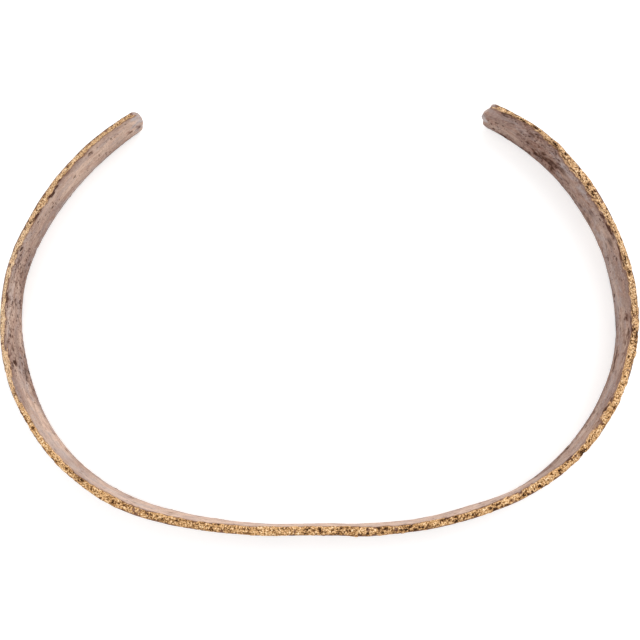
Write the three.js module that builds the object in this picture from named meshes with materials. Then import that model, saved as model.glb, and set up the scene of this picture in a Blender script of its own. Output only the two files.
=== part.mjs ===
// A bronze torc: one strip of bronze, hammered to shape and bent on edge into an open neck ring.
// Millimetres, +Z up. It lies on its lower rim, the plane z = 0, with the gap between its two
// terminals towards +Y. The origin is on that plane, under the middle of the ring.
//
// The strip starts as a straight blank, and the smith's work is repeated on it in order: the
// terminals are trimmed, the section is hammered out, and the whole is bent along the ring's plan.

import * as THREE from 'three';
import { mergeVertices } from 'three/addons/utils/BufferGeometryUtils.js';

// The strip.
const BAND_HEIGHT = 12;
const ARRIS_SHARE = 0.2; // of the thickness, taken off each arris where the rims are worn

// The ring's plan, walked along the middle of the strip from the left terminal round the back to
// the right terminal. Each stretch is an arc: its length, and how far it turns inwards, in degrees.
const FIRST_HEADING = -147;
const STRETCHES = [
  { name: 'left arm', length: 40, turn: 35 },
  { name: 'left bend', length: 8, turn: 13.5 },
  { name: 'left side', length: 30, turn: 36.5 },
  { name: 'left corner', length: 36, turn: 47 },
  { name: 'back left', length: 30, turn: 16 },
  { name: 'back middle, pushed in', length: 12, turn: -2 },
  { name: 'back right', length: 33, turn: 20.5 },
  { name: 'right corner', length: 44, turn: 53.5 },
  { name: 'right bend', length: 11, turn: 18 },
  { name: 'right side', length: 17, turn: 18.5 },
  { name: 'right arm', length: 18, turn: 18.5 },
  { name: 'right tip', length: 24, turn: 27.5 },
];

// What the hammer left, by distance from the left terminal: the strip's thickness, and its lean,
// which is how far the lower rim stands inside the upper one.
const GAUGE = [
  { at: 0, thickness: 1.0, lean: -0.5 },
  { at: 14, thickness: 1.1, lean: -0.1 },
  { at: 36, thickness: 1.2, lean: -0.3 },
  { at: 48, thickness: 0.9, lean: 0.0 },
  { at: 70, thickness: 0.9, lean: 1.2 },
  { at: 82, thickness: 1.3, lean: 0.4 },
  { at: 112, thickness: 1.9, lean: 0.3 },
  { at: 142, thickness: 2.0, lean: -0.4 },
  { at: 156, thickness: 2.2, lean: -0.4 },
  { at: 172, thickness: 1.7, lean: -0.1 },
  { at: 198, thickness: 1.8, lean: -0.7 },
  { at: 211, thickness: 1.5, lean: 0.2 },
  { at: 234, thickness: 1.7, lean: -0.2 },
  { at: 246, thickness: 1.6, lean: 0.2 },
  { at: 262, thickness: 1.1, lean: 0.3 },
  { at: 276, thickness: 1.9, lean: -0.2 },
  { at: 292, thickness: 0.9, lean: 1.1 },
  { at: 303, thickness: 0.9, lean: 0.6 },
];

// The terminals are worn. The left one is rounded: the height and reach of its crest, and how far
// it falls back from there to each rim. The right one is square, with a small nub that the cut left
// standing, and a slope on each side of the nub. Each has its corners taken off, by these radii.
const CREST_HEIGHT = 7.7;
const CREST_REACH = 0.5;
const FALL_ABOVE = 1.3;
const FALL_BELOW = 1.5;
const LEFT_TOP_CORNER = 0.5;
const LEFT_BOTTOM_CORNER = 1.2;
const RIGHT_TOP_CORNER = 1.5;
const RIGHT_BOTTOM_CORNER = 2.4;
const NUB_LENGTH = 0.9;
const NUB_HEIGHT = 5.2;
const SLOPE_ABOVE_NUB = 4.8;
const SLOPE_BELOW_NUB = 3;

// How finely the blank is divided: along it, and from rim to rim.
const STEPS_ALONG = 120;
const STEPS_UP = 12;

// The plan as a chain of tangent arcs that starts at (0, 0).
function makePlan() {
  const plan = new THREE.CurvePath();
  const end = new THREE.Vector2(0, 0);
  let heading = THREE.MathUtils.degToRad(FIRST_HEADING);
  for (const { length, turn } of STRETCHES) {
    const angle = THREE.MathUtils.degToRad(turn);
    const side = Math.sign(turn);
    const radius = length / Math.abs(angle);
    const startAngle = heading - side * Math.PI / 2;
    const endAngle = startAngle + angle;
    const centreX = end.x - radius * Math.cos(startAngle);
    const centreY = end.y - radius * Math.sin(startAngle);
    plan.add(new THREE.EllipseCurve(centreX, centreY, radius, radius, startAngle, endAngle, side < 0));
    end.set(centreX + radius * Math.cos(endAngle), centreY + radius * Math.sin(endAngle));
    heading += angle;
  }
  return plan;
}

// Thickness and lean at a distance along the strip, eased from one gauge point to the next.
function gaugeAt(distance) {
  const passed = GAUGE.filter((point) => point.at <= distance).length;
  const next = THREE.MathUtils.clamp(passed, 1, GAUGE.length - 1);
  const before = GAUGE[next - 1];
  const after = GAUGE[next];
  const share = THREE.MathUtils.smoothstep(distance, before.at, after.at);
  return {
    thickness: THREE.MathUtils.lerp(before.thickness, after.thickness, share),
    lean: THREE.MathUtils.lerp(before.lean, after.lean, share),
  };
}

// How much of a terminal a rounded corner takes away, at a distance from the rim.
function cornerTrim(distance, radius) {
  const short = Math.max(radius - distance, 0);
  return radius - Math.sqrt(radius * radius - short * short);
}

function nubProud(height) {
  const slope = height > NUB_HEIGHT ? SLOPE_ABOVE_NUB : SLOPE_BELOW_NUB;
  const across = Math.min(Math.abs(height - NUB_HEIGHT) / slope, 1);
  return NUB_LENGTH * Math.cos(across * Math.PI / 2) ** 2;
}

// How far the rounded terminal falls back from its crest, less the crest's reach.
function crestFall(height) {
  const above = height > CREST_HEIGHT;
  const share = (height - CREST_HEIGHT) / (above ? BAND_HEIGHT - CREST_HEIGHT : CREST_HEIGHT);
  return (above ? FALL_ABOVE : FALL_BELOW) * share ** 2 - CREST_REACH;
}

function leftTrim(height) {
  const top = cornerTrim(BAND_HEIGHT - height, LEFT_TOP_CORNER);
  return crestFall(height) + top + cornerTrim(height, LEFT_BOTTOM_CORNER);
}

function rightTrim(height) {
  const top = cornerTrim(BAND_HEIGHT - height, RIGHT_TOP_CORNER);
  return top + cornerTrim(height, RIGHT_BOTTOM_CORNER) - nubProud(height);
}

// Moves each point of the blank, a unit cube about the origin, to its place on the ring:
// X runs along the strip, Y from the outer face to the inner one, Z from rim to rim.
function shapeBlank(blank, plan) {
  const length = plan.getLength();
  const position = blank.getAttribute('position');
  for (let i = 0; i < position.count; i += 1) {
    const up = Math.sin(position.getZ(i) * Math.PI);
    const height = BAND_HEIGHT * (1 + up) / 2;
    const start = leftTrim(height);
    const end = length - rightTrim(height);
    const distance = THREE.MathUtils.lerp(start, end, position.getX(i) + 0.5);
    const share = THREE.MathUtils.clamp(distance / length, 0, 1);
    const beyond = distance - share * length;

    const { thickness, lean } = gaugeAt(distance);
    const isRim = Math.abs(up) > 0.9999;
    const width = isRim ? thickness * (1 - 2 * ARRIS_SHARE) : thickness;
    const inwards = position.getY(i) * width - lean * up / 2;

    const middle = plan.getPoint(share);
    const forward = plan.getTangent(share);
    const x = middle.x + forward.x * beyond - forward.y * inwards;
    const y = middle.y + forward.y * beyond + forward.x * inwards;
    position.setXYZ(i, x, y, height);
  }
}

function makeBand() {
  const blank = new THREE.BoxGeometry(1, 1, 1, STEPS_ALONG, 1, STEPS_UP);
  blank.deleteAttribute('normal');
  blank.deleteAttribute('uv');
  shapeBlank(blank, makePlan());
  const geometry = mergeVertices(blank);
  geometry.computeBoundingBox();
  const centre = geometry.boundingBox.getCenter(new THREE.Vector3());
  geometry.translate(-centre.x, -centre.y, 0);
  geometry.computeVertexNormals();
  return geometry;
}

// Old bronze: a dull mauve-brown patina over metal.
const bronze = new THREE.MeshStandardMaterial({ color: 0xa98c7c, roughness: 0.55, metalness: 0.6 });

const band = new THREE.Mesh(makeBand(), bronze);
band.name = 'torc_band';

const torc = new THREE.Group();
torc.add(band);

export default torc;
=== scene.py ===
import math

import bpy
import numpy as np
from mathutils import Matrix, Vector


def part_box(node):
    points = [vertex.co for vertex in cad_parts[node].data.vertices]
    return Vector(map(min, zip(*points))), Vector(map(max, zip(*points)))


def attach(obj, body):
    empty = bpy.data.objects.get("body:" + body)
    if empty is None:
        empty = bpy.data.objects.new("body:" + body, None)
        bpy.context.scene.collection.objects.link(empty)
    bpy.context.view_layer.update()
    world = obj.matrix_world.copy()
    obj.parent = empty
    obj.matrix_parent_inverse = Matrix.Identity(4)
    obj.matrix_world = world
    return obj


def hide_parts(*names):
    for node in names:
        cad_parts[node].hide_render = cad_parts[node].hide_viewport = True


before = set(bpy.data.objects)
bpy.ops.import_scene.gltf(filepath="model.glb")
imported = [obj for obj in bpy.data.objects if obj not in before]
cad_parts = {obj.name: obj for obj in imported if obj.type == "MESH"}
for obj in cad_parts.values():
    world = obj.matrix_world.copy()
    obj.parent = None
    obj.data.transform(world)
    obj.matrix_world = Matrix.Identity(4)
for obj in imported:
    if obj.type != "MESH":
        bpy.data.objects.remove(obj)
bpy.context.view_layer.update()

# ------------------------------------------------------------------ the strip
# The torc is one strip of bronze, hammered to a band and bent on edge into an open ring, with no
# clasp and no joint. It is drawn the way it was made: a straight blank, divided finely, has its
# terminals trimmed and its arrises worn round, and is bent along the ring's plan.

MM = 0.001
strip_low, strip_high = (np.array(corner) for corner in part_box("torc_band"))
STRIP_HEIGHT = (strip_high[2] - strip_low[2]) / MM
ARRIS_WEAR = 0.24  # radius of the worn arrises, as a share of the thickness

# Each stretch of the plan: its length in mm, and how far it turns inwards, in degrees.
FIRST_HEADING = -147
STRETCHES = (
    (40, 35),    # left arm
    (8, 13.5),   # left bend
    (30, 36.5),  # left side
    (36, 47),    # left corner
    (30, 16),    # back left
    (12, -2),    # back middle, pushed in
    (33, 20.5),  # back right
    (44, 53.5),  # right corner
    (11, 18),    # right bend
    (17, 18.5),  # right side
    (18, 18.5),  # right arm
    (24, 27.5),  # right tip
)
# What the hammer left, by distance from the left terminal: the thickness, and the lean, which is
# how far the lower rim stands inside the upper one.
GAUGE = (
    (0, 1.0, -0.5), (14, 1.1, -0.1), (36, 1.2, -0.3), (48, 0.9, 0.0), (70, 0.9, 1.2),
    (82, 1.3, 0.4), (112, 1.9, 0.3), (142, 2.0, -0.4), (156, 2.2, -0.4), (172, 1.7, -0.1),
    (198, 1.8, -0.7), (211, 1.5, 0.2), (234, 1.7, -0.2), (246, 1.6, 0.2), (262, 1.1, 0.3),
    (276, 1.9, -0.2), (292, 0.9, 1.1), (303, 0.9, 0.6),
)
# The terminals, in mm: the crest of the left one, which is rounded, and how far it falls back from
# there to each rim, the radius of each worn corner, and the nub that the cut left on the right one,
# with the height of the slope above and below it.
CREST_HEIGHT, CREST_REACH = 7.7, 0.5
FALL_ABOVE, FALL_BELOW = 1.3, 1.5
LEFT_TOP_CORNER, LEFT_BOTTOM_CORNER = 0.5, 1.2
RIGHT_TOP_CORNER, RIGHT_BOTTOM_CORNER = 1.5, 2.4
NUB_LENGTH, NUB_HEIGHT = 0.9, 5.2
SLOPE_ABOVE_NUB, SLOPE_BELOW_NUB = 4.8, 3.0

# How finely the blank is divided: along it, with a few short steps at each terminal, through it,
# and from rim to rim, where the rows crowd together towards the rims.
STEPS_ALONG, STEPS_THROUGH, STEPS_UP = 1389, 9, 24
END_STEPS, END_LENGTH = 5, 0.3
CROWDING = 0.6
lengths, turns = (np.array(column, float) for column in zip(*STRETCHES))
strip_length = lengths.sum()
along = np.interp(
    np.arange(STEPS_ALONG + 1),
    (0, END_STEPS, STEPS_ALONG - END_STEPS, STEPS_ALONG),
    (0, END_LENGTH, strip_length - END_LENGTH, strip_length),
)
through_rows = np.linspace(-1, 1, STEPS_THROUGH + 1)
up_rows = np.linspace(-1, 1, STEPS_UP + 1)
up_rows = CROWDING * np.sin(up_rows * math.pi / 2) + (1 - CROWDING) * up_rows

# The section is walked once round: up the outer face, over the upper rim, down the inner face and
# back under the lower rim. Places on this skin are in mm, on a strip of middling thickness.
MIDDLING = 1.6
INNER_FACE = STRIP_HEIGHT + MIDDLING
LOWER_RIM = INNER_FACE + STRIP_HEIGHT
SKIN = LOWER_RIM + MIDDLING
section = np.array(
    [(0, row) for row in range(STEPS_UP)]
    + [(row, STEPS_UP) for row in range(STEPS_THROUGH)]
    + [(STEPS_THROUGH, row) for row in range(STEPS_UP, 0, -1)]
    + [(row, 0) for row in range(STEPS_THROUGH, 0, -1)]
)
through, up = through_rows[section[:, 0]], up_rows[section[:, 1]]
skin_steps = np.abs(np.diff(up)) / 2 * STRIP_HEIGHT + np.abs(np.diff(through)) / 2 * MIDDLING
skin = np.concatenate(([0], np.cumsum(skin_steps)))
from_rim = (1 - np.abs(up)) / 2 * STRIP_HEIGHT
inside = (skin > STRIP_HEIGHT + MIDDLING / 2) & (skin < LOWER_RIM + MIDDLING / 2)


def eased(places, stations, values):
    """Values between stations, easing from each one to the next."""
    stations, values = np.asarray(stations, float), np.asarray(values, float)
    after = np.clip(np.searchsorted(stations, places, side="right"), 1, len(stations) - 1)
    share = (places - stations[after - 1]) / (stations[after] - stations[after - 1])
    share = np.clip(share, 0, 1)
    share = share * share * (3 - 2 * share)
    return values[after - 1] + share * (values[after] - values[after - 1])


def corner_trim(distance, radius):
    """How much of a terminal a rounded corner takes away, at a distance from the rim."""
    short = np.maximum(radius - distance, 0)
    return radius - np.sqrt(radius * radius - short * short)


# The plan is walked in short steps, and a little beyond each terminal.
PLAN_STEP = 0.05
PLAN_MARGIN = 4


def bend(distance, inwards, height):
    """Points of the straight strip, in mm, to their places on the ring."""
    fine = np.arange(-PLAN_MARGIN, strip_length + PLAN_MARGIN, PLAN_STEP)
    knots = np.concatenate(([0], np.cumsum(lengths)))
    headings = np.radians(FIRST_HEADING + np.concatenate(([0], np.cumsum(turns))))
    heading = np.interp(fine, knots, headings)
    middle = (heading[1:] + heading[:-1]) / 2
    x = np.concatenate(([0], np.cumsum(np.cos(middle)))) * PLAN_STEP
    y = np.concatenate(([0], np.cumsum(np.sin(middle)))) * PLAN_STEP
    here = np.interp(distance, fine, heading)
    x = np.interp(distance, fine, x) - np.sin(here) * inwards
    y = np.interp(distance, fine, y) + np.cos(here) * inwards
    return np.stack((x, y, height), axis=-1)


ALMOST_NONE = 1e-9  # mm, so that nothing is divided by a distance of none


def strip_points(distance, through, up):
    """The strip before any fine wear: places in the blank to places on the ring."""
    stations, thicknesses, leans = zip(*GAUGE)
    height = (1 + up) / 2 * STRIP_HEIGHT
    below_top = STRIP_HEIGHT - height
    slope = np.where(height > NUB_HEIGHT, SLOPE_ABOVE_NUB, SLOPE_BELOW_NUB)
    across = np.minimum(np.abs(height - NUB_HEIGHT) / slope, 1)
    above = height > CREST_HEIGHT
    to_rim = np.where(above, STRIP_HEIGHT - CREST_HEIGHT, CREST_HEIGHT)
    fall = np.where(above, FALL_ABOVE, FALL_BELOW) * ((height - CREST_HEIGHT) / to_rim) ** 2
    start = corner_trim(below_top, LEFT_TOP_CORNER) + corner_trim(height, LEFT_BOTTOM_CORNER)
    start = start + fall - CREST_REACH
    short = corner_trim(below_top, RIGHT_TOP_CORNER) + corner_trim(height, RIGHT_BOTTOM_CORNER)
    stop = strip_length - short + NUB_LENGTH * np.cos(across * math.pi / 2) ** 2
    distance = start + distance / strip_length * (stop - start)
    thickness = eased(distance, stations, thicknesses)

    # Each point is drawn in to the core of the strip, then put back at the arris radius from it.
    radius = ARRIS_WEAR * thickness
    place = np.stack(np.broadcast_arrays(distance, through * thickness / 2, height), axis=-1)
    half = thickness / 2 - radius
    core = np.stack((
        np.clip(place[..., 0], start + radius, stop - radius),
        np.clip(place[..., 1], -half, half),
        np.clip(place[..., 2], radius, STRIP_HEIGHT - radius),
    ), axis=-1)
    out = place - core
    off_core = np.maximum(np.linalg.norm(out, axis=-1), ALMOST_NONE)
    out *= (radius / off_core)[..., None]
    distance, inwards, height = np.moveaxis(core + out, -1, 0)
    lean = eased(distance, stations, leans) * (height / STRIP_HEIGHT - 0.5)
    return bend(distance, inwards - lean, height)


def spline_shares(places, cells):
    """How much each place takes from each cell of a closed row, smoothly over the nearest four."""
    shares = np.zeros((len(places), cells))
    first = np.floor(places).astype(int)
    x = places - first
    splines = (
        (1 - x) ** 3,
        3 * x ** 3 - 6 * x ** 2 + 4,
        3 * x + 3 * x ** 2 - 3 * x ** 3 + 1,
        x ** 3,
    )
    for offset, share in zip((-1, 0, 1, 2), splines):
        shares[np.arange(len(places)), (first + offset) % cells] += share / 6
    return shares


def unevenness(long, wide, seed):
    """Smooth random relief over the whole skin, of spread 1, its humps long by wide mm."""
    cells_along, cells_round = round(strip_length / long), round(SKIN / wide)
    heights = np.random.default_rng(seed).standard_normal((cells_along, cells_round))
    shares_along = spline_shares(along / strip_length * cells_along, cells_along)
    shares_round = spline_shares(skin / SKIN * cells_round, cells_round)
    field = shares_along @ heights @ shares_round.T
    return field / field.std()


def layered(*layers):
    """Unevenness in layers, each listed with its strength, length, width and seed."""
    return sum(strength * unevenness(long, wide, seed) for strength, long, wide, seed in layers)


def by_distance(stations):
    """Values listed by distance from the left terminal, for each step along the strip."""
    return eased(along, *zip(*stations))[:, None]


def ramp(value, low, high):
    """0 below low, 1 above high, easing between."""
    share = np.clip((value - low) / (high - low), 0, 1)
    return share * share * (3 - 2 * share)


# Bare metal: the rims have lost their patina and show granular metal, which spills down the faces
# further at some places than at others. Depths are in mm below the rim, by distance along, and so
# is how far the patina still holds on to the outer arris.
INNER_SPILL = (
    (0, 0.45), (22, 0.5), (27, 0.9), (33, 0.5), (41, 0.9), (52, 0.8), (60, 0.9), (69, 1.2), (84, 0.5),
    (120, 0.3), (200, 0.4), (210, 0.9), (222, 1.6), (231, 0.8), (250, 0.6), (262, 1.5), (273, 0.8),
    (303, 0.6),
)
OUTER_SPILL = ((0, 0.05), (70, 0.1), (95, 0.4), (200, 0.5), (250, 0.7), (303, 0.5))
UNDERSIDE_SPILL = 0.12
KEPT_ARRIS = ((0, 0.4), (60, 0.4), (80, 0.15), (220, 0.15), (240, 0.25), (303, 0.3))
RIM_REACH = 0.3           # mm more on the rims themselves
EDGE_FROM, EDGE_TO = -0.1, 0.25
ARRIS_FROM = -0.7         # as a share of half the thickness, on the outer side
spill = np.where(inside, by_distance(INNER_SPILL), by_distance(OUTER_SPILL))
spill = np.where(up > 0, spill, UNDERSIDE_SPILL)
on_rim = (np.abs(up) == 1) & (np.abs(through) < 1)
ragged = np.maximum(layered((0.42, 2.2, 1.2, 11), (0.36, 0.7, 0.5, 12)), -1)
reach = spill * (1 + ragged) - from_rim + layered((0.12, 0.4, 0.4, 13)) + RIM_REACH * on_rim
outer_arris = (up == 1) & (through < ARRIS_FROM)
reach = reach - outer_arris * by_distance(KEPT_ARRIS)
bare = ramp(reach, EDGE_FROM, EDGE_TO)

# Pits: holes that corrosion left, close together on the bare rims, wider and shallower on the
# faces. Each group: where it starts and stops, along the strip and then round its skin, how many
# there are, and their half length, half width and depth in mm. Sizes spread about these.
PITS = (
    (0, 303, STRIP_HEIGHT, INNER_FACE, 230, 0.18, 0.15, 0.10),           # upper rim
    (0, 44, STRIP_HEIGHT, INNER_FACE + 0.5, 12, 0.30, 0.22, 0.22),       # upper rim, left arm
    (150, 215, STRIP_HEIGHT, INNER_FACE, 60, 0.30, 0.22, 0.18),          # upper rim, back right
    (235, 300, STRIP_HEIGHT, INNER_FACE + 0.9, 34, 0.24, 0.20, 0.20),    # upper rim, right arm
    (256, 276, INNER_FACE - 0.6, INNER_FACE + 1.6, 60, 0.20, 0.18, 0.12),  # upper rim, right side
    (0, 303, LOWER_RIM, SKIN, 300, 0.30, 0.25, 0.15),                    # lower rim
    (42, 70, INNER_FACE + 1.5, INNER_FACE + 8, 30, 0.38, 0.36, 0.12),    # inner face, left side
    (70, 225, INNER_FACE + 1, INNER_FACE + 11, 50, 0.50, 0.40, 0.09),    # inner face, back
    (225, 301, INNER_FACE + 1, INNER_FACE + 11, 50, 0.55, 0.38, 0.10),   # inner face, right arm
    (2, 301, 0.8, STRIP_HEIGHT - 0.8, 45, 0.50, 0.40, 0.08),             # outer face
    (234, 300, STRIP_HEIGHT, INNER_FACE + 0.4, 36, 0.30, 0.24, 0.20),    # upper rim, right arm
)
PIT_SPREAD = 0.35
PIT_MARGIN = 3       # half lengths, beyond which a pit has faded out
PIT_STEEPNESS = 1.5  # of the walls
DEEPEST_PIT = 1.6    # times the listed depth
pitted = np.zeros((len(along), len(skin)))
pit_depth = np.zeros_like(pitted)
chance = np.random.default_rng(21)
for first, last, low, high, count, long, wide, depth in PITS:
    for _ in range(count):
        here, round_here = chance.uniform(first, last), chance.uniform(low, high)
        size = chance.lognormal(0, PIT_SPREAD)
        margin = PIT_MARGIN * long * size
        rows = slice(*np.searchsorted(along, (here - margin, here + margin)))
        off_along = (along[rows, None] - here) / (long * size)
        off_round = (skin[None] - round_here) / (wide * size)
        hole = np.exp(-(off_along ** 2 + off_round ** 2) ** PIT_STEEPNESS)
        pitted[rows] = np.maximum(pitted[rows], hole)
        pit_depth[rows] = np.maximum(pit_depth[rows], hole * depth * min(size, DEEPEST_PIT))

# Crusts: thick dark brown corrosion, left in patches on the inner face. Each: how far along the
# strip, how far below the upper rim, its half length and half width in mm, and how strong it is.
CRUSTS = (
    (0.9, 8.4, 0.4, 0.8, 0.5), (3.5, 8.3, 0.5, 0.6, 0.5), (7.6, 4.1, 0.45, 0.7, 0.9),
    (14, 2.4, 0.6, 0.5, 0.6), (23, 0.9, 1.1, 0.6, 0.8), (26.8, 1.2, 0.5, 0.8, 1.0),
    (25.3, 1.0, 0.7, 0.5, 0.8), (32.6, 0.8, 1.2, 0.5, 0.6), (40.6, 1.7, 0.4, 0.8, 1.0),
    (44, 3.0, 0.5, 0.6, 0.5), (52.2, 0.9, 1.2, 0.8, 0.8), (47.6, 8.3, 0.25, 1.2, 0.7),
    (64.3, 5.8, 0.8, 0.6, 0.6), (66.8, 4.3, 0.6, 0.6, 0.9), (57, 3.6, 0.7, 0.5, 0.6),
    (54, 5.4, 0.6, 0.5, 0.5), (61, 3.4, 0.8, 0.6, 0.7),
    (69, 10, 2.0, 0.6, 0.5), (208.6, 0.9, 1.2, 0.6, 0.7), (222, 1.5, 0.7, 0.8, 0.9),
    (218.6, 1.7, 0.7, 0.6, 0.7), (235, 9.0, 2.2, 0.8, 0.6), (240, 1.8, 1.0, 0.8, 0.6),
    (243, 4.2, 0.8, 1.2, 0.5), (256.5, 1.6, 1.2, 0.7, 0.7), (259.2, 2.1, 1.4, 0.7, 0.9),
    (263.4, 2.6, 1.2, 0.5, 0.8), (267.4, 2.2, 1.4, 0.5, 0.7), (270.4, 1.9, 0.7, 0.5, 0.7),
    (284, 8.4, 1.4, 1.0, 0.8), (287, 8.8, 1.2, 0.9, 0.7), (282, 6.4, 1.0, 0.7, 0.6),
    (278, 7.4, 0.8, 0.6, 0.5), (286, 6.2, 1.0, 0.6, 0.6), (289, 1.6, 2.4, 0.6, 0.5),
    (297.7, 11, 1.0, 0.4, 0.9), (291, 10.8, 1.6, 0.4, 0.7), (298.6, 1.4, 1.8, 0.7, 0.55),
    (210, 10.6, 5.0, 0.4, 0.7),
)
# Blooms: thin bluish grey corrosion, listed in the same way. The last one only paints the nub of
# the right terminal pale grey.
BLOOMS = (
    (1.0, 5.0, 1.2, 4.0, 1.0), (48, 2.5, 14, 1.0, 0.35), (71, 8.5, 5, 0.8, 0.6),
    (98, 5, 14, 2.2, 0.5), (110, 4.5, 2.5, 0.6, 0.8), (169, 7, 1.2, 1.2, 0.7),
    (278, 3.2, 6, 1.2, 0.5), (294, 2.2, 6, 0.7, 0.2), (25, 10.8, 12, 0.5, 0.6),
    (228, 7, 8, 1.5, 0.3), (252, 9.2, 14, 2.2, 0.45), (303, 6.6, 0.8, 1.6, 1.0),
)
# Stains: soft warm brown ones, listed in the same way, and a band of them under the upper rim,
# as strong as listed by distance along.
STAINS = (
    (1.2, 7.6, 1.0, 1.4, 0.7), (3.6, 8.2, 0.8, 0.6, 0.7), (7.6, 4.2, 0.9, 0.6, 0.6),
    (14, 2.4, 0.8, 0.4, 0.5), (22, 1.0, 2.2, 0.7, 0.8), (26.8, 1.1, 0.8, 0.7, 0.9),
    (33, 0.8, 1.4, 0.5, 0.6), (43.5, 3.0, 2.8, 0.7, 0.6), (47.6, 8.3, 0.4, 1.4, 0.6),
    (52.4, 1.4, 1.5, 1.0, 0.8), (57.5, 4.4, 3.4, 0.9, 0.5), (62.5, 4.4, 2.4, 1.2, 0.5),
    (67, 4.4, 1.0, 0.7, 0.7), (69, 9.2, 1.5, 1.0, 0.6), (73, 10.4, 3.6, 0.8, 0.6),
    (74, 7.2, 2.6, 1.3, 0.35), (96, 8.8, 2.6, 0.7, 0.35), (209, 1.0, 1.6, 1.0, 0.8),
    (216.3, 1.0, 1.8, 0.9, 0.5), (218.6, 1.9, 0.9, 0.7, 0.8), (222, 1.6, 1.0, 1.0, 0.9),
    (225, 1.3, 2.2, 0.9, 0.7), (230.4, 1.8, 2.4, 1.1, 0.7), (237, 1.8, 5.6, 1.6, 0.8),
    (240, 5.2, 3.0, 2.2, 0.6), (205, 9.4, 5.5, 0.9, 0.6), (217, 10.4, 6, 0.8, 0.5),
    (234.5, 8.8, 3.2, 1.2, 0.8), (228, 10, 5, 0.8, 0.5), (243.4, 4.2, 1.3, 1.4, 0.7),
    (243.4, 8, 1.4, 1.4, 0.6), (250, 10.8, 8, 0.6, 0.4), (257.8, 1.9, 2.6, 1.0, 0.95),
    (263, 2.5, 3.2, 0.6, 0.9), (268.4, 2.1, 3.0, 0.7, 0.85), (258, 8.4, 1.6, 2.0, 0.4),
    (275, 9, 4, 0.9, 0.35), (281, 9.5, 3, 1.2, 0.4), (285, 7.8, 4.0, 2.2, 0.8),
    (290, 5, 5, 1.5, 0.35), (290.5, 1.7, 4.2, 1.0, 0.5), (298.4, 11, 2.8, 0.6, 0.8),
)
RIM_STAIN = (
    (0, 0.35), (20, 0.5), (58, 0.45), (64, 0.05), (100, 0.1), (195, 0.2), (208, 0.6), (230, 0.85),
    (250, 0.5), (303, 0.5),
)
OUTER_RIM_STAIN = 0.3
STAIN_END, STAIN_FULL = 2.4, 0.5  # mm below the rim
PATCH_REACH = 1.5  # how far out a patch can spread, in its own half lengths
blotchy = layered((0.3, 1.2, 0.8, 31), (0.4, 0.6, 0.5, 32))


def patches(places):
    """Ragged patches on the inner face, as strong as each one is listed."""
    cover = np.zeros_like(pitted)
    for here, down, long, wide, strength in places:
        off_along = (along[:, None] - here) / long
        off_round = (skin[None] - INNER_FACE - down) / wide
        patch = PATCH_REACH - np.hypot(off_along, off_round) + blotchy
        cover = np.maximum(cover, strength * ramp(patch, 0, 1))
    return cover


crusted = patches(CRUSTS)
bloomed = patches(BLOOMS)
rim_stain = np.where(inside, by_distance(RIM_STAIN), OUTER_RIM_STAIN)
rim_stain = rim_stain * ramp(from_rim, STAIN_END, STAIN_FULL) * (up > 0)
rim_stain = rim_stain * (0.9 + layered((0.3, 3, 1, 36)))
stained = np.maximum(patches(STAINS), rim_stain)

# A thin line of crust also runs along the foot of the inner face.
LINE_END, LINE_FULL = 0.9, 0.1  # mm above the lower rim
foot_line = ramp(skin, LOWER_RIM - LINE_END, LOWER_RIM - LINE_FULL)
foot_line = foot_line * (0.6 + layered((0.25, 2.5, 1.5, 33)))
crusted = np.maximum(crusted, foot_line)

# Tone: how pale the inner face is painted, by distance from the left terminal. It is partly the
# patina's own tone and partly painted light and shade: lightest on the back, whose inner face
# faces the key lamp, and darkest on the right arm, whose inner face faces away from it. The outer
# face has one tone throughout, and painted shade darkens both faces towards the rims.
TONE_AND_LIGHT = (
    (0, 0.70), (20, 0.75), (45, 0.58), (62, 0.60), (85, 0.76), (108, 0.98), (150, 1.35), (172, 1.0),
    (190, 0.74), (205, 0.60), (217, 0.28), (240, 0.37), (262, 0.48), (276, 0.3), (285, 0.04),
    (294, 0.18), (303, 0.22),
)
OUTER_TONE = 0.3
# Painted shade: the tone is lowered towards each rim by these shares, a little more at the foot of
# the inner face.
RIM_SHADE, FOOT_SHADE = 0.3, 0.32
RIM_SHADE_END, RIM_SHADE_FULL = 3.6, 0.6  # mm from the nearer rim
tone = np.where(inside, by_distance(TONE_AND_LIGHT), OUTER_TONE)
painted_rim_shade = ramp(from_rim, RIM_SHADE_END, RIM_SHADE_FULL) * np.where(inside & (up < 0), FOOT_SHADE, RIM_SHADE)
tone = tone - painted_rim_shade + layered((0.13, 5, 2.2, 34))

# By distance again: scabs, how thickly the small dark spots of corrosion stand on the inner face,
# shine, how bright the bare metal is, and film, how much of a thin pale film dulls it.
SCABS = (
    (0, 0.22), (20, 0.15), (38, 0.3), (46, 0.85), (64, 0.75), (72, 0.25), (85, 0.05), (190, 0.05),
    (225, 0.2), (262, 0.2), (274, 0.4), (284, 0.8), (291, 0.5), (303, 0.35),
)
SHINE = (
    (0, -0.05), (30, -0.02), (50, 0.0), (80, -0.02), (105, -0.07), (130, -0.08), (146, -0.04),
    (158, -0.07), (172, -0.09), (190, -0.02), (225, -0.03), (248, -0.07), (266, -0.01), (286, -0.09),
    (303, -0.08),
)
RIM_FILM = (
    (0, 0.12), (25, 0.14), (45, 0.30), (66, 0.25), (82, 0.0), (225, 0.02), (245, 0.12), (303, 0.15),
)
OUTER_SCABS = 0.1
scabby = np.where(inside, by_distance(SCABS), OUTER_SCABS) + layered((0.12, 4, 2.5, 35))
filmed = np.broadcast_to(by_distance(RIM_FILM), pitted.shape)

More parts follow.
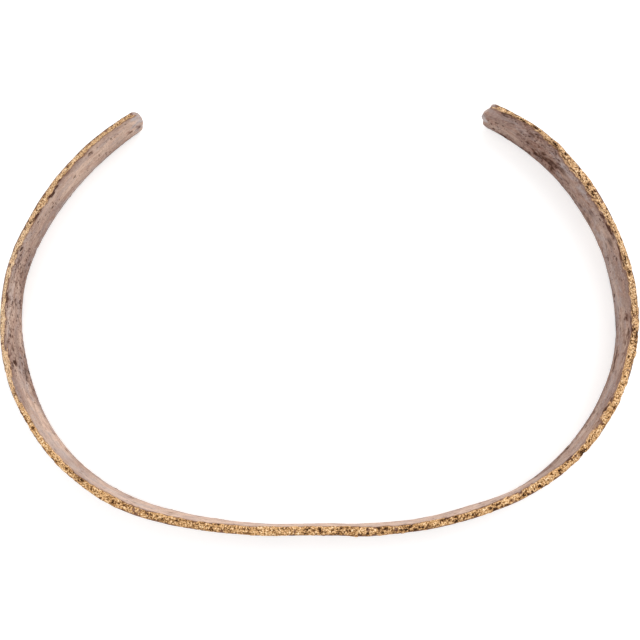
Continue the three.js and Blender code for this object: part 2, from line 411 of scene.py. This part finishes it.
# Relief in mm: hammering and lengthwise drawing on the faces, coarse grains on the bare metal,
# and the pits. The grains that stand proud are also a little brighter.
GRAIN_HEIGHT = 0.065
GRAIN_SHINE = 0.02
HAMMERED_FROM = 1.5  # mm from the nearer rim, where the hammer marks reach their full depth
grain = layered((0.62, 0.42, 0.34, 41), (0.5, 0.9, 0.6, 42), (0.35, 2.4, 1.0, 43))
hammering = layered((0.11, 7, 5, 44), (0.04, 3.2, 2.8, 45))
drawing = layered((0.020, 9, 0.9, 46), (0.016, 3, 0.7, 47), (0.014, 0.8, 0.7, 48))
relief = hammering * ramp(from_rim, 0, HAMMERED_FROM) + (1 - bare) * drawing
relief = relief + GRAIN_HEIGHT * bare * grain - pit_depth
shine = by_distance(SHINE) + GRAIN_SHINE * grain


def outward(points):
    """The direction out of the skin at each point of the rings round the section."""
    ahead = np.gradient(points, axis=0)
    round_about = np.roll(points, -1, axis=1) - np.roll(points, 1, axis=1)
    normal = np.cross(ahead, round_about)
    return normal / np.linalg.norm(normal, axis=-1, keepdims=True)


# The mesh: a ring of points round the section at each step along, and a grid of points that
# closes each terminal inside its ring. The upper rim waves a little up and down.
rings = strip_points(along[:, None], through[None], up[None])
rings[..., 2] += layered((0.09, 7, SKIN, 51), (0.05, 2, SKIN, 52)) * np.maximum(up, 0)
middle = (rings.min(axis=(0, 1)) + rings.max(axis=(0, 1))) / 2
to_place = (strip_low + strip_high) / 2 / MM - middle
rings += outward(rings) * relief[..., None] + to_place


def quads(grid):
    """The four corners of each cell of a grid, in order round the cell."""
    corners = (grid[:-1, :-1], grid[1:, :-1], grid[1:, 1:], grid[:-1, 1:])
    return np.stack(corners, axis=2).reshape(-1, 4, *grid.shape[2:])


def crossed(first, second):
    """A grid of pairs, one value from each row."""
    return np.stack(np.meshgrid(first, second, indexing="ij"), axis=-1)


ring_numbers = np.arange(len(along) * len(section)).reshape(len(along), -1)
closed_numbers = np.concatenate((ring_numbers, ring_numbers[:, :1]), axis=1)
points = [rings.reshape(-1, 3)]
faces = [quads(closed_numbers)]
flat_places = [quads(crossed(along, np.append(skin, SKIN)))]

# The bake map lays the strip's three thirds one under another, with the terminals beside them.
ROWS, ROW_WIDTH, ROW_FILL = 3, 0.93, 0.96
ROW_START, ROW_FOOT = 0.01, 0.02
END_ACROSS, END_HALF_WIDTH = 0.97, 0.02
END_UP, END_STEP, END_HALF_HEIGHT = 0.25, 0.5, 0.22
row = np.repeat(np.arange(ROWS), len(faces[0]) // ROWS)[:, None]
row_start = along[row * (STEPS_ALONG // ROWS)]
bake_across = ROW_START + ROW_WIDTH * (flat_places[0][..., 0] - row_start) / (strip_length / ROWS)
bake_up = (row + ROW_FOOT + ROW_FILL * flat_places[0][..., 1] / SKIN) / ROWS
bake_places = [np.stack((bake_across, bake_up), axis=-1)]

for end, loop in ((0, ring_numbers[0]), (1, ring_numbers[-1])):
    numbers = np.zeros((STEPS_THROUGH + 1, STEPS_UP + 1), int)
    numbers[section[:, 0], section[:, 1]] = loop
    filling = strip_points(end * strip_length, through_rows[1:-1, None], up_rows[None, 1:-1])
    first = sum(map(len, points))
    count = (STEPS_THROUGH - 1) * (STEPS_UP - 1)
    numbers[1:-1, 1:-1] = first + np.arange(count).reshape(filling.shape[:2])
    points.append((filling + to_place).reshape(-1, 3))
    flat = crossed(through_rows * MIDDLING / 2, up_rows * STRIP_HEIGHT / 2)
    beside = crossed(
        END_ACROSS + END_HALF_WIDTH * through_rows,
        END_UP + END_STEP * end + END_HALF_HEIGHT * up_rows,
    )
    turned = slice(None, None, 1 if end else -1)
    faces.append(quads(numbers)[:, turned])
    flat_places.append(quads(flat)[:, turned])
    bake_places.append(quads(beside)[:, turned])
points, faces = np.concatenate(points), np.concatenate(faces)
points[:, 2] = np.maximum(points[:, 2], 0)

band_mesh = bpy.data.meshes.new("bronze_band")
band_mesh.from_pydata((points * MM).tolist(), [], faces.tolist())
band_mesh.shade_smooth()
for name, places in (("OFBake", bake_places), ("Skin", flat_places)):
    layer = band_mesh.uv_layers.new(name=name)
    layer.data.foreach_set("uv", np.concatenate(places).astype(np.float32).ravel())
band = bpy.data.objects.new("bronze_band", band_mesh)
bpy.context.collection.objects.link(band)

# What the finish needs to know at each point: the value's name, the value on the strip's skin, and
# the one value that the terminals' end faces have.
MARKS = (
    ("bare", bare, 0.1), ("pitted", pitted, 0), ("crusted", crusted, 0), ("bloomed", bloomed, 0.8),
    ("stained", stained, 0.1), ("tone", tone, 0.6), ("scabby", scabby, 0.3), ("shine", shine, 0),
    ("filmed", filmed, 0.2),
)
for name, values, at_terminals in MARKS:
    full = np.full(len(points), at_terminals, np.float32)
    full[:values.size] = values.ravel()
    band_mesh.attributes.new(name, "FLOAT", "POINT").data.foreach_set("value", full)


class Shade:
    """A value in a finish. Sums on it add Math nodes, and node() adds any other node."""

    # The sockets of a Mix node that mixes colours.
    SHARE, FIRST, SECOND, MIXED = 0, 6, 7, 2

    def __init__(self, tree, socket=None):
        self.tree, self.socket = tree, socket

    def node(self, kind, settings=None, sockets=None, output=0):
        """Adds a node. Its settings are set first, then its sockets take values or links."""
        added = self.tree.nodes.new("ShaderNode" + kind)
        for name, value in (settings or {}).items():
            if name == "stops":
                for at, _ in value[1:-1]:
                    added.color_ramp.elements.new(at)
                for stop, (at, colour) in zip(added.color_ramp.elements, value):
                    stop.position, stop.color = at, colour
            else:
                setattr(added, name, value)
        for name, value in (sockets or {}).items():
            if isinstance(value, Shade):
                self.tree.links.new(value.socket, added.inputs[name])
            else:
                added.inputs[name].default_value = value
        return Shade(self.tree, added.outputs[output] if added.outputs else None)

    def other(self, output):
        """Another output of the node that this value comes from."""
        return Shade(self.tree, self.socket.node.outputs[output])

    def math(self, operation, first, second=0.0):
        return self.node("Math", {"operation": operation}, {0: first, 1: second})

    def __add__(self, other):
        return self.math("ADD", self, other)

    __radd__ = __add__

    def __sub__(self, other):
        return self.math("SUBTRACT", self, other)

    def __rsub__(self, other):
        return self.math("SUBTRACT", other, self)

    def __mul__(self, other):
        return self.math("MULTIPLY", self, other)

    __rmul__ = __mul__

    def between(self, low, high):
        """0 below low, 1 above high, easing between."""
        ends = {"From Min": low, "From Max": high}
        return self.node("MapRange", {"interpolation_type": "SMOOTHSTEP"}, {"Value": self, **ends})

    def colour_between(self, first, second):
        """A colour that goes from the first to the second as this value goes from 0 to 1."""
        sockets = {self.SHARE: self, self.FIRST: first, self.SECOND: second}
        return self.node("Mix", {"data_type": "RGBA"}, sockets, self.MIXED)

    def mixed(self, other, share):
        """This colour with a share of another laid over it."""
        return share.colour_between(self, other)


# The finish: patina on the faces, mauve brown to pale beige, with grey and brown clouds, streaks and
# spots, and granular bare bronze where it has worn through. Colours are linear.
MAUVE_BROWN = (0.228, 0.147, 0.123, 1)
PALE_BEIGE = (0.68, 0.508, 0.405, 1)
PINK_BROWN = (0.37, 0.205, 0.150, 1)
COOL_GREY = (0.29, 0.25, 0.26, 1)
BLOOM_GREY = (0.45, 0.425, 0.44, 1)
STAIN_BROWN = (0.17, 0.080, 0.052, 1)
RED_BROWN = (0.14, 0.053, 0.036, 1)
CRUST_BROWN = (0.055, 0.021, 0.013, 1)
FILM_BEIGE = (0.80, 0.69, 0.57, 1)
WARM_GLOSS = (0.86, 0.70, 0.60, 1)
# The palest of these colours stand partly for painted glints on the brightest grains.
BARE_METAL_AND_GLINTS = (  # from the hollows between the grains to the brightest grains
    (0.16, (0.04, 0.016, 0.006, 1)),
    (0.35, (0.26, 0.12, 0.04, 1)),
    (0.50, (0.66, 0.37, 0.15, 1)),
    (0.66, (0.86, 0.57, 0.30, 1)),
    (0.86, (1.0, 0.87, 0.64, 1)),
)
old_bronze = bpy.data.materials.new("old_bronze")
old_bronze.use_nodes = True
old_bronze.node_tree.nodes.clear()
bronze = Shade(old_bronze.node_tree)
on_skin = bronze.node("UVMap", {"uv_map": "Skin"})
(
    is_bare, is_pitted, is_crusted, is_bloomed, is_stained,
    pale_tone_and_shading, how_scabby, how_bright, is_filmed,
) = (bronze.node("Attribute", {"attribute_name": name}, output="Fac") for name, _, _ in MARKS)


def drawn_out(long, wide, away):
    """Places on the skin, shrunk so that long by wide mm measures one, then moved away."""
    stretch = {0: on_skin, 1: (1 / long, 1 / wide, 0), 2: (away, away, 0)}
    return bronze.node("VectorMath", {"operation": "MULTIPLY_ADD"}, stretch)


def mottle(long, wide, detail=2.0, roughness=0.5, away=0.0):
    """Noise in patches of about long by wide mm. Each use is taken from elsewhere, away."""
    place = {"Vector": drawn_out(long, wide, away), "Scale": 1.0}
    fineness = {"Detail": detail, "Roughness": roughness}
    return bronze.node("TexNoise", {"noise_dimensions": "2D"}, {**place, **fineness})


# Spots, in cells: their radius runs from the smallest up, and their edges are ragged and soft.
SMALLEST_SPOT, SPOT_RANGE = 0.14, 0.42
SPOT_EDGE = 0.16
SPOT_RAGGEDNESS = 0.5


def spots(long, wide, share, away):
    """Spots of many sizes in a share of the cells of long by wide mm."""
    place = {"Vector": drawn_out(long, wide, away), "Scale": 1.0}
    distance = bronze.node("TexVoronoi", {"voronoi_dimensions": "2D"}, place)
    chance = bronze.node("SeparateColor", sockets={"Color": distance.other("Color")})
    chosen = (share - chance).between(0, 0.05)
    size = chance.other("Green") * chance.other("Green") * SPOT_RANGE + SMALLEST_SPOT
    ragged_edge = (mottle(0.35, 0.3, 1, away=away) - 0.5) * SPOT_RAGGEDNESS
    return chosen * (size - distance + ragged_edge).between(0, SPOT_EDGE)


# The ground colour, with clouds in it and the bloom over it.
broad = mottle(9, 4, 4, 0.6, away=3) - 0.5
# Its paleness carries the tone's painted light and shade as well as the patina's own tone.
paleness_and_shading = (pale_tone_and_shading + broad * 1.2).between(-0.1, 1.1)
pink_clouds = mottle(4.0, 2.2, 3, away=7).between(0.47, 0.64)
grey_clouds = mottle(5, 2.6, 3, away=11).between(0.50, 0.66)
bloom = is_bloomed * mottle(2.4, 1.6, 3, away=17).between(0.25, 0.5)
patina = paleness_and_shading.colour_between(MAUVE_BROWN, PALE_BEIGE)
patina = patina.mixed(PINK_BROWN, pink_clouds * 0.4)
patina = patina.mixed(COOL_GREY, grey_clouds * 0.4)
patina = patina.mixed(BLOOM_GREY, bloom * 0.9)

# Brown over it: streaks, the stains, and the fine lines that the strip was drawn out in.
streaks = mottle(2.6, 0.9, 3, away=23).between(0.51, 0.66)
stain = (is_stained * (mottle(1.5, 0.7, 3, 0.6, away=47) * 1.6 + 0.2)).between(0.05, 0.95)
drawn_lines = mottle(8, 0.28, 3, 0.6, away=27).between(0.52, 0.64)
patina = patina.mixed(RED_BROWN, streaks * (0.16 + how_scabby * 0.35))
patina = patina.mixed(STAIN_BROWN, stain * 0.8)
patina = patina.mixed(RED_BROWN, drawn_lines * 0.22)

# Flecks and a finer tooth, both of them with pale and dark grains.
flecks = mottle(0.7, 0.5, 2, away=31)
tooth = mottle(0.5, 0.5, 3, 0.7, away=63)
patina = patina.mixed(PALE_BEIGE, (1 - flecks).between(0.53, 0.7) * 0.2)
patina = patina.mixed(RED_BROWN, flecks.between(0.54, 0.66) * how_scabby * 0.35)
patina = patina.mixed(RED_BROWN, tooth.between(0.50, 0.68) * 0.3)
patina = patina.mixed(PALE_BEIGE, (1 - tooth).between(0.52, 0.70) * 0.22)

# The darkest marks: spots, crusts, and the bottoms of the pits.
dark_spots = spots(1.2, 1.2, how_scabby * 0.35, 37) + spots(0.6, 0.66, how_scabby * 0.6, 39)
crust = (is_crusted * (mottle(0.8, 0.6, 3, 0.65, away=43) * 3.2 - 0.6)).between(0.1, 0.9)
patina = patina.mixed(CRUST_BROWN, dark_spots * 0.6)
patina = patina.mixed(CRUST_BROWN, crust * 0.9)
patina = patina.mixed(CRUST_BROWN, is_pitted * 0.45)
dark = (crust + dark_spots + is_pitted + stain * 0.4).between(0, 1)

# The bare metal, grain by grain. The grains that the bump raises are also the palest, and the
# palest colours are partly painted glints. A brown line parts it from the patina.
worn = is_bare * (1 - crust * 0.85)
fine_grain = mottle(0.36, 0.32, 3, 0.75, away=57)
grain_clumps = mottle(1.4, 0.7, 2, away=59)
dingy = mottle(2.4, 0.8, 3, 0.6, away=61).between(0.52, 0.66)
brightness = fine_grain * 1.75 + grain_clumps * 0.25 + how_bright - 0.45
brightness = brightness - is_pitted * 0.4 - is_crusted * 0.35 - dingy * 0.15
metal_and_glints = bronze.node("ValToRGB", {"stops": BARE_METAL_AND_GLINTS}, {"Fac": brightness})
metal_and_glints = metal_and_glints.mixed(FILM_BEIGE, is_filmed * brightness.between(0.2, 0.5))
boundary = is_bare * (1 - is_bare) * 3.0
colour = patina.mixed(metal_and_glints, worn).mixed(RED_BROWN, boundary)

# Bright grains are the most metallic. Dark marks are rough, so that they stay dark seen aslant.
metallic = worn * (brightness.between(0.15, 0.5) * 0.8 - 0.35) + 0.42 + dark * 0.35
roughness = 0.44 - worn * 0.08 + flecks * 0.12 + dark * 0.3
patina_relief = mottle(1.1, 0.7, 4, 0.6, away=71) - flecks * 0.6 - tooth * 0.5 - dark_spots * 0.6
skin_relief = patina_relief * (1 - worn) + fine_grain * worn * 1.3
bump = bronze.node("Bump", sockets={"Strength": 0.8, "Distance": 0.16 * MM, "Height": skin_relief})
surface = bronze.node(
    "BsdfPrincipled",
    sockets={
        "Base Color": colour, "Metallic": metallic, "Roughness": roughness, "Normal": bump,
        "Specular IOR Level": 0.4, "Specular Tint": WARM_GLOSS,
    },
)
bronze.node("OutputMaterial", sockets={"Surface": surface})
band_mesh.materials.append(old_bronze)

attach(band, "root")
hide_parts("torc_band")

# ------------------------------------------------------------------ the studio
# The torc lies on its lower rim on a plain pale floor, under a pale sky and two soft lamps. The
# stronger one stands beyond the gap between the terminals.

FLOOR_SIZE = 4.0
FLOOR_GAP = 0.05 * MM
FLOOR_WHITE = (0.88, 0.88, 0.88, 1)
FLOOR_GLOW = 0.33
SKY_STRENGTH = 0.88
WHITE = (1, 1, 1, 1)
half = FLOOR_SIZE / 2
floor_corners = [(-half, -half, 0), (half, -half, 0), (half, half, 0), (-half, half, 0)]
floor_mesh = bpy.data.meshes.new("floor")
floor_mesh.from_pydata(floor_corners, [], [(0, 1, 2, 3)])
floor = bpy.data.objects.new("floor", floor_mesh)
floor.location.z = strip_low[2] - FLOOR_GAP
bpy.context.collection.objects.link(floor)
floor_finish = bpy.data.materials.new("pale_floor")
floor_finish.use_nodes = True
floor_shader = floor_finish.node_tree.nodes["Principled BSDF"]
floor_shader.inputs["Base Color"].default_value = FLOOR_WHITE
floor_shader.inputs["Roughness"].default_value = 0.9
floor_shader.inputs["Specular IOR Level"].default_value = 0.1
floor_shader.inputs["Emission Color"].default_value = WHITE
floor_shader.inputs["Emission Strength"].default_value = FLOOR_GLOW
floor_mesh.materials.append(floor_finish)

sky = bpy.data.worlds.new("pale_sky")
sky.use_nodes = True
sky_shader = sky.node_tree.nodes["Background"]
sky_shader.inputs["Color"].default_value = WHITE
sky_shader.inputs["Strength"].default_value = SKY_STRENGTH
bpy.context.scene.world = sky


def add_lamp(name, place, size, power):
    """A square soft lamp that faces the middle of the ring, in metres and watts."""
    light = bpy.data.lights.new(name, "AREA")
    light.size = size
    light.energy = power
    lamp = bpy.data.objects.new(name, light)
    lamp.location = place
    lamp.rotation_euler = (-Vector(place)).to_track_quat("-Z", "Y").to_euler()
    bpy.context.collection.objects.link(lamp)


add_lamp("key_lamp", (0.42, 0.62, 0.62), 1.0, 4.6)
add_lamp("fill_lamp", (-0.45, -0.15, 0.75), 0.8, 1.0)

# The camera is held close over the ring, tipped a little back from straight down.
CAMERA_LENS, CAMERA_DISTANCE, CAMERA_TIP = 55, 0.2248, math.radians(7.3)
NEAREST_SEEN = 0.01
AIM_OFF_MIDDLE = Vector((0.07, 0.20, 0)) * MM
camera_data = bpy.data.cameras.new("camera")
camera_data.lens = CAMERA_LENS
camera_data.clip_start = NEAREST_SEEN
camera = bpy.data.objects.new("camera", camera_data)
middle_of_ring = Vector((strip_low[0] + strip_high[0], strip_low[1] + strip_high[1], 0)) / 2
towards_camera = Vector((0, -math.sin(CAMERA_TIP), math.cos(CAMERA_TIP)))
camera.location = middle_of_ring + AIM_OFF_MIDDLE + towards_camera * CAMERA_DISTANCE
camera.rotation_euler = towards_camera.to_track_quat("Z", "Y").to_euler()
bpy.context.collection.objects.link(camera)
bpy.context.scene.camera = camera
bpy.context.scene.view_settings.view_transform = "Standard"
